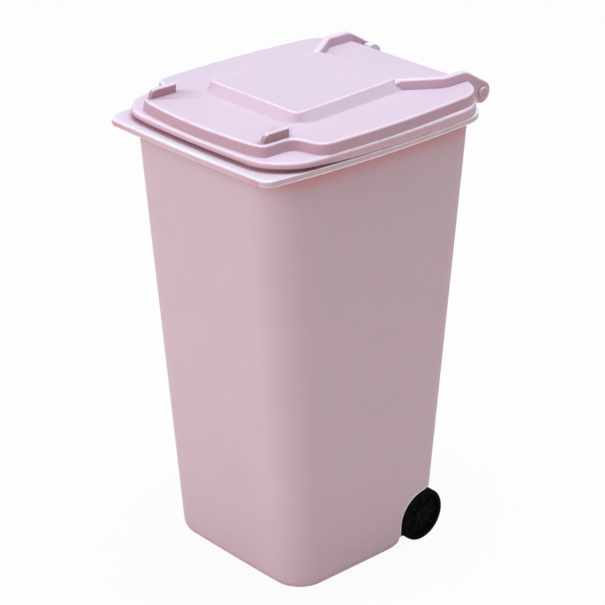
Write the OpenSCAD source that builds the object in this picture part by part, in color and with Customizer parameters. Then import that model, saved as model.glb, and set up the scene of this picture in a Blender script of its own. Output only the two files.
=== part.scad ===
// Small two-wheeled countertop bin with a rear-hinged lid
// The origin is on the ground, in the middle of the overall width and depth; the front faces -Y

/* [Bin] */
// Height of the bin from its base up to the underside of its brim
body_h = 142; // [128:1:158]
// Width of the bin at the brim, at its widest
top_w = 72; // [68:0.2:76]
// Width of the bin at the base
base_w = 61.6; // [58:0.2:65]
// Depth of the bin at the brim
top_d = 84; // [79:0.2:90]
// Depth of the bin at the base
base_d = 61.6; // [58:0.2:66]
// How far the middle of the base sits behind the middle of the brim
base_shift = 0.6; // [0:0.1:1.5]
// Radius of the upright corners at the brim
top_corner_r = 13.5; // [10:0.5:16]
// Radius of the upright corners at the base
base_corner_r = 10.5; // [8:0.5:13]
// Radius of the rounded lower edge
base_edge_r = 4; // [3:0.5:5]
// Thickness of the bin's walls
wall = 1.5; // [1.2:0.1:1.8]
// Thickness of the bin's floor
floor_t = 1.8; // [1.5:0.1:2.4]

/* [Brim] */
// Height of the brim's turned-down outer edge
brim_h = 2.1; // [1.8:0.1:2.6]
// Thickness of the brim's flat flange
flange_t = 1.3; // [1:0.1:1.5]
// How far the brim stands out in front of the bin's wall
brim_front = 5; // [4:0.5:8]
// How far the brim stands out at each side
brim_side = 1.9; // [1.6:0.1:2.4]
// How far the brim stands out at the rear
brim_rear = 2.2; // [1.6:0.1:2.4]
// Height of the raised rim round the mouth
rim_h = 0.6; // [0.4:0.1:0.7]

/* [Lid] */
// Gap between the brim and the lid's outer edge
lid_gap = 1.1; // [0.9:0.1:1.3]
// Extra gap under the front edge, where a fingertip lifts the lid
finger_gap = 0.3; // [0.2:0.1:0.5]
// Height of the lid's outer edge
skirt_h = 2; // [1.8:0.1:2.4]
// Height of the stepped top above the outer edge
step_h = 3.5; // [3:0.1:4]
// Height of the raised centre panel above the step
panel_h = 3.1; // [2.4:0.1:3.6]
// Thickness of the lid's moulded skin
lid_t = 1.4; // [1.2:0.1:1.6]
// Width of the nose at the front of the step
nose_w = 54.4; // [50:0.2:58]
// Width of the raised panel at its front
panel_w = 44.6; // [40:0.2:46]
// Depth of the raised panel
panel_d = 48; // [40:1:50]
// Thickness of each grip rib at the front of the lid
rib_t = 1.7; // [1:0.1:2]
// Length of each grip rib
rib_l = 9.6; // [8:0.2:10.4]
// Height of each grip rib
rib_h = 2.8; // [1.8:0.1:3]

/* [Hinge] */
// Distance from the rear wall back to the hinge axis
hinge_reach = 7.4; // [7.2:0.1:8]
// Outer radius of the round hinge eyes
eye_r = 3.5; // [3.2:0.1:3.6]
// Thickness of each lid arm
arm_t = 2.2; // [1.8:0.1:2.6]
// Distance of each arm's middle from the middle of the lid
arm_x = 25.6; // [24:0.2:27]
// Thickness of each hinge lug on the bin
lug_t = 3; // [2.5:0.1:3.5]
// Radius of the hinge pin's shank
pin_r = 1.2; // [1:0.1:1.3]
// Radius of the hinge pin's round head
pin_head_r = 1.9; // [1.7:0.1:2.1]
// Radius of the carrying bar between the lugs
bar_r = 2; // [1.6:0.1:2.1]

/* [Wheels] */
// Radius of each wheel
wheel_r = 8.8; // [8.4:0.1:9.2]
// Width of each wheel
wheel_w = 5; // [4:0.1:5.4]
// Radius of the axle
axle_r = 1.5; // [1.2:0.1:1.8]
// Distance of the axle in front of the bin's rear wall at the base
axle_inset = 7.5; // [7:0.1:8.5]
// How far each wheel's outer face stands out from the bin's side at the base
wheel_proud = 0.2; // [0:0.1:0.4]
// Radial gap between a wheel and its arch
arch_gap = 0.7; // [0.5:0.1:0.9]
// Number of spokes on each wheel
spokes = 8; // [6:1:10]

/* [Hidden] */
$fn = 64;
bin_color = "#d9c3cd";
black = "#141414";
// Plate thickness and overlap used where solids meet
tiny = 0.02;
lap = 1;
least_r = 0.5;
corner_steps = 9;
side_steps = 6;
edge_steps = 4;
wall_bow = 0.5;
wall_nose = 0.4;
fit_gap = 0.05;
side_gap = 0.35;
// Places along the depth
depth = brim_front + top_d + hinge_reach + eye_r;
mid_y = brim_front + top_d / 2 - depth / 2;
hinge_y = depth / 2 - eye_r;
rear_y = mid_y + top_d / 2;
front_y = mid_y - top_d / 2;
// Heights
ground_gap = 0.1;
axle_z = wheel_r + ground_gap;
brim_top = body_h + brim_h;
skirt_z = brim_top + lid_gap;
lip_z = skirt_z + skirt_h;
step_z = lip_z + step_h;
panel_z = step_z + panel_h;
hinge_rise = 1.3;
hinge_z = brim_top + hinge_rise;
// Brim outline
brim_bow = 2.1;
brim_nose = 0.7;
brim_front_r = 3.6;
brim_rear_r = 11;
turn_t = 1.1;
wall_lap = 0.1;
rim_inset = 0.5;
// Lid outlines
lip_bow = 2.5;
lip_nose = 2.1;
lip_over = 1;
lip_w = top_w + 2 * (brim_side + lip_over);
lip_back = 3;
lip_front_y = front_y - brim_front + lip_back;
lip_rear_y = rear_y + brim_rear + 0.1;
lip_front_r = 11.7;
lip_rear_r = 13.4;
ledge = 0.9;
nose_back = 1.6;
lip_edge_r = 0.6;
brim_edge_r = 0.5;
step_front_y = lip_front_y + nose_back;
step_nose = 2.3;
nose_r = 2.5;
nose_turn = 10;
notch_back = 10.2;
notch_y = step_front_y + notch_back;
notch_r = 4.5;
notch_tilt = 13;
step_bow = 0.9;
step_taper = 1;
step_side = lip_w / 2 - ledge - step_bow + step_taper / 4;
step_rear_r = 13;
step_edge_r = 0.7;
step_draft = 0.5;
rear_ledge = 0.9;
panel_back = 19.7;
panel_front_y = step_front_y + panel_back;
panel_rear_y = panel_front_y + panel_d;
panel_taper = 2.4;
panel_slope = 2.8;
panel_front_r = 8;
panel_top_r = 2.5;
panel_rear_r = 4;
panel_least_r = 1.5;
panel_edge = 0.5;
panel_chamfer = 0.7;
under_lean = 0.6;
under_drop = 0.5;
relief_l = 45;
// Grip rib places
rib_back = 4.1;
rib_inset = 1.2;
rib_round = 2.2;
rib_edge = 0.5;
// Arm places
arm_start = 16.7;
arm_bend = 29.6;
arm_draft = 0.6;
arm_out_r = 4;
arm_in_r = 3;
in_shift = 1;
arm_root = 8;
arm_drop = 59;
peak_r = 7.5;
eye_under = 15;
shelf_in = 0.6;
// Wheel places
axle_y = mid_y + base_shift + base_d / 2 - axle_inset;
arch_r = wheel_r + arch_gap;
flare_r = 6.8;
wheel_out = base_w / 2 + wheel_proud;
wheel_in = wheel_out - wheel_w;
wheel_side_gap = 0.6;
well_in = wheel_in - wheel_side_gap;
boss_t = 1.6;
boss_r = axle_r + boss_t;
hub_wall = 1.6;
// Bracket places
lug_in = arm_x - arm_t / 2 - side_gap - lug_t;
bracket_drop = 6;
bar_front = 0.4;
bar_drop = 1.9;

// Points of an arc about a centre
function arc(c, r, from, to, steps) =
    [for (i = [0:steps]) c + r * [cos(from + (to - from) * i / steps), sin(from + (to - from) * i / steps)]];

// Points that round the corner at b between its neighbours a and c
function rounded(a, b, c, r, steps) =
    let (u = (a - b) / norm(a - b))
    let (v = (c - b) / norm(c - b))
    let (half = acos(u * v) / 2)
    let (middle = b + (u + v) / norm(u + v) * r / sin(half))
    let (from = b + u * r / tan(half) - middle)
    let (to = b + v * r / tan(half) - middle)
    [for (i = [0:steps])
        let (way = from + (to - from) * i / steps)
        middle + way * r / norm(way)];

// Points between two points, without the two ends
function between(a, b, steps) = [for (i = [1:steps - 1]) a + (b - a) * i / steps];

// The same points mirrored left to right, in reverse order, so that they close an outline
function mirrored(points) = [for (i = [len(points) - 1:-1:0]) [-points[i].x, points[i].y]];

// Right half of a rounded rectangle that narrows by taper on each side towards the rear
function half_box(x, y0, y1, rf, rr, taper, steps) =
    let (front = arc([x - rf, y0 + rf], rf, -90, 0, corner_steps))
    let (rear = arc([x - taper - rr, y1 - rr], rr, 0, 90, corner_steps))
    concat(between([0, y0], front[0], steps), front,
           between([x, y0 + rf], rear[0], steps), rear);

// Sides and front pushed outward in a shallow curve
function bowed(points, x, y0, y1, side, nose) =
    let (middle = (y0 + y1) / 2)
    let (reach = (y1 - y0) / 2)
    [for (p = points)
        [p.x + sign(p.x) * side * max(0, 1 - pow((p.y - middle) / reach, 2)) * pow(min(1, abs(p.x) / x), 4),
         p.y - (p.y < middle ? nose * max(0, 1 - pow(p.x / x, 2)) : 0)]];

// Whole outline from its right half
function whole(half) = concat(half, mirrored(half));

// Closed ring of a bowed rounded rectangle, moved inward by inset
function ring(w, y0, y1, rf, rr, side, nose, inset = 0) =
    let (x = w / 2 - side - inset)
    bowed(whole(half_box(x, y0 + nose + inset, y1 - inset, max(least_r, rf - inset), max(least_r, rr - inset), 0, side_steps)),
          x, y0 + nose + inset, y1 - inset, side, nose);

// Outline at a height
function level(points, z) = [for (p = points) [p.x, p.y, z]];

// Solid through a stack of outlines, each the same left and right, that have the same number of points
module loft(levels) {
    n = len(levels[0]);
    top = len(levels) - 1;
    bands = [for (i = [0:n / 2 - 2]) [i, i + 1, n - 2 - i, n - 1 - i]];
    polyhedron(
        points = [for (ring = levels) for (p = ring) p],
        faces = concat(
            bands,
            [for (band = bands) [for (i = [3:-1:0]) top * n + band[i]]],
            [for (k = [0:top - 1]) for (i = [0:n - 1]) [k * n + i, (k + 1) * n + i, (k + 1) * n + (i + 1) % n]],
            [for (k = [0:top - 1]) for (i = [0:n - 1]) [k * n + i, (k + 1) * n + (i + 1) % n, k * n + (i + 1) % n]]
        )
    );
}

// Outline of the bin's wall at a height
function wall_ring(z, inset) =
    let (t = z / body_h)
    let (w = base_w + (top_w - base_w) * t - 2 * inset)
    let (d = base_d + (top_d - base_d) * t - 2 * inset)
    let (r = base_corner_r + (top_corner_r - base_corner_r) * t - inset)
    let (y = mid_y + base_shift * (1 - t))
    ring(w, y - d / 2, y + d / 2, r, r, wall_bow * (1 + t) / 2, wall_nose);

// Tapered tub with a rounded lower edge, from z0 up to z1
module tub(inset, z0, z1, edge_r) {
    edge = [for (k = [0:edge_steps])
        let (a = 90 * k / edge_steps)
        let (z = z0 + edge_r * (1 - cos(a)))
        level(wall_ring(z, inset + edge_r * (1 - sin(a))), z)];
    loft(concat(edge, [level(wall_ring(z1, inset), z1)]));
}

// Insets and heights of a rounded top edge below z
function edge_levels(r, z) =
    [for (k = [0:edge_steps])
        let (a = 90 * k / edge_steps)
        [r * (1 - cos(a)), z - r * (1 - sin(a))]];

// Outline of the brim, moved inward by inset
function brim_ring(inset) =
    ring(top_w + 2 * brim_side, front_y - brim_front, rear_y + brim_rear,
         brim_front_r, brim_rear_r, brim_bow, brim_nose, inset);

// Flange round the mouth, with its outer edge turned down
module brim() {
    difference() {
        loft(concat(
            [level(brim_ring(0), body_h)],
            [for (edge = edge_levels(brim_edge_r, brim_top)) level(brim_ring(edge[0]), edge[1])]));
        difference() {
            translate([0, 0, body_h - lap])
                linear_extrude(brim_h - flange_t + lap)
                    polygon(brim_ring(turn_t));
            translate([0, 0, body_h - 2 * lap])
                linear_extrude(brim_h + 4 * lap)
                    polygon(wall_ring(body_h, wall_lap));
        }
    }
}

// Raised rim just inside the lid's skirt
module rim() {
    translate([0, 0, body_h])
        linear_extrude(brim_h + rim_h)
            polygon(wall_ring(body_h, rim_inset));
}

// Side shape of one wheel arch, open below and behind, grown by extra
module arch_shape(extra) {
    arch_y = axle_y - arch_r - extra;
    translate([axle_y, axle_z])
        circle(arch_r + extra);
    translate([arch_y, -lap])
        square([base_d, axle_z + lap]);
    difference() {
        translate([arch_y - flare_r, -lap])
            square([flare_r + tiny, flare_r + lap]);
        translate([arch_y - flare_r, flare_r])
            circle(flare_r);
    }
}

// Cylinder lying along X between two places
module rod(r, x0, x1, y, z) {
    translate([x0, y, z])
        rotate([0, 90, 0])
            cylinder(r = r, h = x1 - x0);
}

// Extrudes a side shape, drawn as depth by height, between two places along X
module along_x(x0, x1) {
    translate([x0, 0, 0])
        rotate([90, 0, 90])
            linear_extrude(x1 - x0)
                children();
}

// Both wheel wells and the axle tunnel between them, grown by extra
module wells(extra) {
    for (side = [-1, 1])
        along_x(side > 0 ? well_in - extra : -base_w, side > 0 ? base_w : -well_in + extra)
            arch_shape(extra);
    along_x(wall - well_in - extra, well_in - wall + extra)
        translate([axle_y - boss_r - extra, -lap])
            square([2 * (boss_r + extra), axle_z + boss_r + extra + lap]);
}

// One hinge lug with its bracket on the rear wall
module lug(side) {
    x0 = side > 0 ? lug_in : -lug_in - lug_t;
    low = 30;
    high = 20;
    step_back = 0.6;
    sink = 0.2;
    rod(eye_r, x0, x0 + lug_t, hinge_y, hinge_z);
    along_x(x0, x0 + lug_t)
        polygon([
            [rear_y - wall, body_h - bracket_drop],
            [hinge_y + eye_r * sin(low), hinge_z - eye_r * cos(low)],
            [hinge_y, hinge_z],
            [hinge_y - eye_r * sin(high), hinge_z + eye_r * cos(high)],
            [rear_y + brim_rear + step_back, brim_top - sink],
            [rear_y - wall, brim_top - sink]
        ]);
}

module bin_body() {
    color(bin_color)
        difference() {
            union() {
                difference() {
                    union() {
                        tub(0, 0, body_h, base_edge_r);
                        brim();
                        rim();
                    }
                    tub(wall, floor_t, brim_top + rim_h + lap, base_edge_r - wall);
                }
                intersection() {
                    tub(tiny, tiny, body_h, base_edge_r);
                    wells(wall);
                }
                lug(-1);
                lug(1);
                rod(bar_r, -lug_in - lap, lug_in + lap, hinge_y - bar_front, hinge_z - bar_drop);
            }
            wells(0);
            for (side = [-1, 1])
                rod(pin_r, side > 0 ? lug_in - lap : -lug_in - lug_t - lap,
                    side > 0 ? lug_in + lug_t + lap : -lug_in + lap, hinge_y, hinge_z);
            rod(axle_r + fit_gap, -wheel_in, wheel_in, axle_y, axle_z);
        }
}

// Right half of the stepped top: a bowed nose, a notch at each front corner and long bowed sides
function half_step(inset) =
    let (nose_x = nose_w / 2)
    let (corner_y = step_front_y + step_nose)
    let (nose_corner = arc([nose_x - nose_r, corner_y + nose_r], nose_r - inset, nose_turn - 90, 0, edge_steps))
    let (notch = arc([nose_x + notch_r, notch_y], notch_r + inset, 180, 90 + notch_tilt, corner_steps))
    let (run = step_side - nose_x - 2 * notch_r * (1 - sin(notch_tilt)))
    let (shoulder_y = notch_y + 2 * notch_r * cos(notch_tilt) + run * tan(notch_tilt))
    let (shoulder = arc([step_side - notch_r, shoulder_y], notch_r - inset, notch_tilt - 90, 0, corner_steps))
    let (rear_x = step_side - step_taper)
    let (rear = arc([rear_x - step_rear_r, lip_rear_y - rear_ledge - step_rear_r], step_rear_r - inset, 0, 90, corner_steps))
    concat(
        [for (i = [1:side_steps])
            let (x = (nose_x - nose_r) * i / (side_steps + 1))
            [x, step_front_y + inset + step_nose * pow(x / nose_x, 2)]],
        nose_corner,
        notch,
        shoulder,
        [for (i = [1:side_steps])
            let (t = i / (side_steps + 1))
            [step_side - inset + step_bow * sin(180 * t) - step_taper * t * t,
             shoulder_y + (rear[0].y - shoulder_y) * t]],
        rear);

// Right half of the raised panel's outline, whose front corners tighten towards its top
function half_panel(inset) =
    let (rise = max(0, min(1, inset / panel_slope)))
    half_box(panel_w / 2 - inset, panel_front_y + inset, panel_rear_y - inset,
             panel_front_r + (panel_top_r - panel_front_r) * rise, max(panel_least_r, panel_rear_r - inset),
             panel_taper, 1);

// Outline of the lid's skirt, moved inward by inset
function lip_ring(inset) =
    ring(lip_w, lip_front_y, lip_rear_y, lip_front_r, lip_rear_r, lip_bow, lip_nose, inset);

// Outer surface of the lid without its arms
module lid_outside() {
    loft(concat(
        [level(lip_ring(0), skirt_z)],
        [for (edge = edge_levels(lip_edge_r, lip_z)) level(lip_ring(edge[0]), edge[1])]));
    loft(concat(
        [level(whole(half_step(-step_draft)), lip_z - lip_edge_r)],
        [for (edge = edge_levels(step_edge_r, step_z)) level(whole(half_step(edge[0])), edge[1])]));
    loft([
        level(whole(half_panel(-panel_slope * lap / panel_h)), step_z - lap),
        level(whole(half_panel(panel_slope - panel_edge)), panel_z - panel_edge),
        level(whole(half_panel(panel_slope - panel_edge + panel_chamfer)), panel_z)
    ]);
}

// Hollow underside of the lid
module lid_inside() {
    translate([0, 0, skirt_z - lap])
        linear_extrude(skirt_h - lid_t + lap)
            polygon(lip_ring(lid_t));
    translate([0, 0, skirt_z])
        linear_extrude(step_z - lid_t - skirt_z)
            polygon(whole(half_step(lid_t)));
    loft([
        level(whole(half_panel(lid_t * under_lean)), step_z - lid_t - under_drop),
        level(whole(half_panel(panel_slope + lid_t * under_lean)), panel_z - lid_t)
    ]);
}

// Wedge that opens the gap under the front of the skirt
module finger_relief() {
    along_x(-lip_w, lip_w)
        polygon([
            [lip_front_y - lap, skirt_z - lap],
            [lip_front_y + relief_l, skirt_z - lap],
            [lip_front_y + relief_l, skirt_z],
            [lip_front_y, skirt_z + finger_gap],
            [lip_front_y - lap, skirt_z + finger_gap]
        ]);
}

// Plan of one arm: it leaves the panel's rear corner, spreads outward and runs straight back
module arm_plan() {
    out_x = arm_x + arm_t / 2;
    in_x = arm_x - arm_t / 2;
    back_y = hinge_y + 2 * eye_r;
    out_start = [panel_w / 2 - panel_taper - panel_slope + arm_draft, arm_start];
    in_start = out_start - [arm_t, 0];
    polygon(concat(
        [out_start],
        rounded(out_start, [out_x, arm_bend], [out_x, back_y], arm_out_r, edge_steps),
        [[out_x, back_y], [in_x, back_y]],
        rounded([in_x, back_y], [in_x, arm_bend + in_shift], in_start, arm_in_r, edge_steps),
        [in_start]
    ));
}

// Side shape of one arm: level with the panel, then bent down to the hinge eye
module arm_side() {
    root = [panel_rear_y - arm_root, panel_z];
    eye_top = [hinge_y + eye_r * cos(arm_drop), hinge_z + eye_r * sin(arm_drop)];
    peak = [eye_top.x - (panel_z - eye_top.y) * tan(arm_drop), panel_z];
    shelf_z = lip_z - lap;
    polygon(concat(
        [[root.x, step_z - lid_t], root],
        rounded(root, peak, eye_top, peak_r, edge_steps),
        [
            eye_top,
            [hinge_y, hinge_z],
            [hinge_y - eye_r * cos(eye_under), hinge_z - eye_r * sin(eye_under)],
            [lip_rear_y - shelf_in, shelf_z],
            [lip_rear_y - lid_t, shelf_z],
            [lip_rear_y - 2 * lid_t, step_z - lid_t]
        ]
    ));
}

// One hinge arm with its eye
module arm() {
    intersection() {
        translate([0, 0, skirt_z - eye_r - lap])
            linear_extrude(panel_z)
                arm_plan();
        along_x(0, lip_w)
            arm_side();
    }
    rod(eye_r, arm_x - arm_t / 2, arm_x + arm_t / 2, hinge_y, hinge_z);
}

// Side shape of one grip rib: round at the front and square at the back
module rib_shape() {
    y0 = step_front_y + rib_back;
    top = step_z + rib_h;
    polygon(concat(
        [[y0 + rib_l, step_z - lid_t / 2], [y0 + rib_l, top - rib_edge], [y0 + rib_l - rib_edge, top]],
        arc([y0 + rib_round, top - rib_round], rib_round, 90, 180, corner_steps),
        [[y0, step_z - lid_t / 2]]
    ));
}

module lid() {
    rib_x = nose_w / 2 - rib_inset - rib_t;
    color(bin_color)
        difference() {
            union() {
                difference() {
                    lid_outside();
                    lid_inside();
                    finger_relief();
                }
                for (side = [0, 1])
                    mirror([side, 0, 0]) {
                        arm();
                        along_x(rib_x, rib_x + rib_t)
                            rib_shape();
                    }
            }
            for (side = [-1, 1])
                rod(pin_r + fit_gap, side * arm_x - arm_t, side * arm_x + arm_t, hinge_y, hinge_z);
        }
}

// Headed hinge pin: its head covers the arm's eye and its shank is pressed into the lug
module hinge_pin() {
    head_gap = 0.12;
    head_t = 0.9;
    head_edge = 0.35;
    tip = 0.3;
    shank = head_gap + arm_t + side_gap + lug_t;
    translate([arm_x + arm_t / 2 + head_gap, hinge_y, hinge_z])
        rotate([0, 90, 0])
            rotate_extrude()
                polygon([
                    [0, -shank],
                    [pin_r - tip, -shank],
                    [pin_r, tip - shank],
                    [pin_r, 0],
                    [pin_head_r, 0],
                    [pin_head_r, head_t - head_edge],
                    [pin_head_r - head_edge, head_t],
                    [0, head_t]
                ]);
}

module hinge_pin_left() {
    color(bin_color)
        mirror([1, 0, 0])
            hinge_pin();
}

module hinge_pin_right() {
    color(bin_color)
        hinge_pin();
}

module axle() {
    color("silver")
        rod(axle_r, hub_wall - wheel_out, wheel_out - hub_wall, axle_y, axle_z);
}

// One wheel at the right-hand side: ribbed disc with a tread, a closed hub and a blind bore
module wheel() {
    rim_t = 1.5;
    dish = 0.9;
    hub_r = 3;
    spoke_t = 1.2;
    edge = 0.5;
    draft = 0.15;
    spoke_lap = 0.4;
    spoke_rise = 0.7;
    difference() {
        translate([wheel_in, axle_y, axle_z])
            rotate([0, 90, 0]) {
                rotate_extrude()
                    polygon([
                        [0, 0],
                        [hub_r, 0],
                        [hub_r, dish],
                        [wheel_r - rim_t, dish],
                        [wheel_r - rim_t, 0],
                        [wheel_r - edge, 0],
                        [wheel_r, edge],
                        [wheel_r, wheel_w - edge],
                        [wheel_r - edge, wheel_w],
                        [wheel_r - rim_t, wheel_w],
                        [wheel_r - rim_t - draft, wheel_w - dish],
                        [hub_r, wheel_w - dish],
                        [hub_r - draft, wheel_w - draft],
                        [0, wheel_w - draft]
                    ]);
                for (i = [0:spokes - 1])
                    rotate([0, 0, 360 * i / spokes])
                        translate([hub_r - spoke_lap, -spoke_t / 2, wheel_w - dish - tiny])
                            cube([wheel_r - rim_t - hub_r + 1.5 * spoke_lap, spoke_t, dish * spoke_rise]);
            }
        rod(axle_r, wheel_in - lap, wheel_out - hub_wall, axle_y, axle_z);
    }
}

module wheel_left() {
    color(black)
        mirror([1, 0, 0])
            wheel();
}

module wheel_right() {
    color(black)
        wheel();
}

bin_body();
lid();
hinge_pin_left();
hinge_pin_right();
axle();
wheel_left();
wheel_right();
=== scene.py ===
import math

import bmesh
import bpy
import numpy as np
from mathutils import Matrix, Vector


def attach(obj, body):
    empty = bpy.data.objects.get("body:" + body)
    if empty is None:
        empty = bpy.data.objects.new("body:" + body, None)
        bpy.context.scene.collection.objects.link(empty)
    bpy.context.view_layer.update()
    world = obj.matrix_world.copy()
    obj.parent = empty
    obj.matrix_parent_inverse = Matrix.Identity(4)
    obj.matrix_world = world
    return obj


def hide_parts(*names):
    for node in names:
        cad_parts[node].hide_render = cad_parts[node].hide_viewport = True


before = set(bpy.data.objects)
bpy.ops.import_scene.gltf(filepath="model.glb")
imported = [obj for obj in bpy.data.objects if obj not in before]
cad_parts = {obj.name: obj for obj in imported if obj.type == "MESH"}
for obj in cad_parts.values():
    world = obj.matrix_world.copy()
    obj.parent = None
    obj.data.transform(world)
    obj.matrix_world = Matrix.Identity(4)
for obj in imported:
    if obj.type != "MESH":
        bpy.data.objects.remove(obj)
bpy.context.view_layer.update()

mm = 0.001
scene = bpy.context.scene
print("frame loaded")

# Camera at the photograph's angle
cameraValues = {
    "azimuth": 47.84,  # degrees round the object from its front
    "elevation": 24.965,
    "distance": 694.63,  # mm from the aim point
    "aim": (0.0, -4.675, 81.445),  # mm
    "lens": 133.157,
    "shiftX": 0.00612,
    "shiftY": 0.00091,
}


def makeCamera(values):
    az = math.radians(values["azimuth"])
    el = math.radians(values["elevation"])
    back = Vector((math.sin(az) * math.cos(el), -math.cos(az) * math.cos(el), math.sin(el)))
    data = bpy.data.cameras.new("photoCamera")
    data.lens = values["lens"]
    data.sensor_width = 36.0
    data.shift_x = values["shiftX"]
    data.shift_y = values["shiftY"]
    data.clip_start = 0.05
    data.clip_end = 20.0
    camera = bpy.data.objects.new("photoCamera", data)
    scene.collection.objects.link(camera)
    camera.location = (Vector(values["aim"]) + back * values["distance"]) * mm
    camera.rotation_euler = (-back).to_track_quat("-Z", "Y").to_euler()
    scene.camera = camera


# Studio light
lightValues = {
    "frontPower": 7.3,
    "frontColour": (0.93, 1.0, 1.04),
    "frontSize": 1.3,
    "topPower": 12.6,
    "topColour": (0.62, 0.95, 1.0),
    "topSize": 0.8,
    "worldLevel": 0.43,
    "floorColour": (0.8, 0.6, 0.54),
    "floorWhite": 0.94,  # share of plain white that the camera sees on the floor
    "floorReach": 6.0,  # m
    "frontPlace": (-0.25, -1.1, 0.75),  # m
    "frontAim": (0.0, 0.0, 0.08),
    "topPlace": (0.0, 0.1, 1.2),
    "topAim": (0.0, 0.0, 0.1),
}


def areaLight(name, power, colour, size, place, aim):
    data = bpy.data.lights.new(name, "AREA")
    data.energy = power
    data.color = colour
    data.shape = "DISK"
    data.size = size
    lamp = bpy.data.objects.new(name, data)
    scene.collection.objects.link(lamp)
    lamp.location = place
    lamp.rotation_euler = (Vector(aim) - Vector(place)).to_track_quat("-Z", "Y").to_euler()


def addNode(tree, kind, links=(), **settings):
    # One node with its settings, each named input linked or set
    node = tree.nodes.new(kind)
    for key, value in settings.items():
        setattr(node, key, value)
    for label, source in links:
        if hasattr(source, "is_output"):
            tree.links.new(source, node.inputs[label])
        else:
            node.inputs[label].default_value = source
    return node


def makeLights(values):
    keys = ("Power", "Colour", "Size", "Place", "Aim")
    for part in ("front", "top"):
        areaLight(part + "Softbox", *(values[part + key] for key in keys))
    world = bpy.data.worlds.new("studioWorld")
    scene.world = world
    world.use_nodes = True
    tree = world.node_tree
    tree.nodes.clear()
    path = addNode(tree, "ShaderNodeLightPath")
    level = addNode(tree, "ShaderNodeMapRange", (
        ("Value", path.outputs["Is Camera Ray"]), ("To Min", values["worldLevel"]), ("To Max", 1.0)))
    background = addNode(tree, "ShaderNodeBackground", (
        ("Color", (1.0, 1.0, 1.0, 1.0)), ("Strength", level.outputs["Result"])))
    addNode(tree, "ShaderNodeOutputWorld", (("Surface", background.outputs["Background"]),))


def makeFloor(values):
    mesh = bpy.data.meshes.new("studioFloor")
    reach = values["floorReach"]
    corners = [(-reach, -reach, 0), (reach, -reach, 0), (reach, reach, 0), (-reach, reach, 0)]
    mesh.from_pydata(corners, [], [(0, 1, 2, 3)])
    floor = bpy.data.objects.new("studioFloor", mesh)
    scene.collection.objects.link(floor)
    material = bpy.data.materials.new("studioFloor")
    material.use_nodes = True
    tree = material.node_tree
    tree.nodes.clear()
    diffuse = addNode(tree, "ShaderNodeBsdfDiffuse", (("Color", (*values["floorColour"], 1.0)),))
    glow = addNode(tree, "ShaderNodeEmission", (("Color", (1.0, 1.0, 1.0, 1.0)),))
    path = addNode(tree, "ShaderNodeLightPath")
    share = addNode(tree, "ShaderNodeMath", (
        (0, path.outputs["Is Camera Ray"]), (1, values["floorWhite"])), operation="MULTIPLY")
    mix = addNode(tree, "ShaderNodeMixShader", (
        ("Fac", share.outputs["Value"]), (1, diffuse.outputs["BSDF"]), (2, glow.outputs["Emission"])))
    addNode(tree, "ShaderNodeOutputMaterial", (("Surface", mix.outputs["Shader"]),))
    mesh.materials.append(material)


makeCamera(cameraValues)
makeLights(lightValues)
makeFloor(lightValues)
scene.view_settings.view_transform = "Standard"
print("camera, lights and floor made")

# Shader groups that the plastics share


def newGroup(name, inputs, outputs):
    tree = bpy.data.node_groups.new(name, "ShaderNodeTree")
    for label, kind, value in inputs:
        socket = tree.interface.new_socket(label, in_out="INPUT", socket_type=kind)
        socket.default_value = value
    for label, kind in outputs:
        tree.interface.new_socket(label, in_out="OUTPUT", socket_type=kind)
    return tree, tree.nodes.new("NodeGroupInput"), tree.nodes.new("NodeGroupOutput")


def mathNode(tree, operation, first, second):
    return addNode(tree, "ShaderNodeMath", ((0, first), (1, second)), operation=operation).outputs["Value"]


def mixColour(tree, share, first, second):
    links = (("Factor", share), ("A", first), ("B", second))
    return addNode(tree, "ShaderNodeMix", links, data_type="RGBA").outputs["Result"]


def noiseNode(tree, vector, scale, detail, roughness):
    links = (("Vector", vector), ("Scale", scale), ("Detail", detail), ("Roughness", roughness))
    return addNode(tree, "ShaderNodeTexNoise", links).outputs["Fac"]


def rangeNode(tree, value, low, high, toLow, toHigh):
    links = (("Value", value), ("From Min", low), ("From Max", high), ("To Min", toLow), ("To Max", toHigh))
    return addNode(tree, "ShaderNodeMapRange", links).outputs["Result"]


# Scales of the patterns that every plastic has, per metre
patternValues = {"smearScale": 90.0, "highlightPatchScale": 160.0, "rareScale": 55.0}


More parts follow.
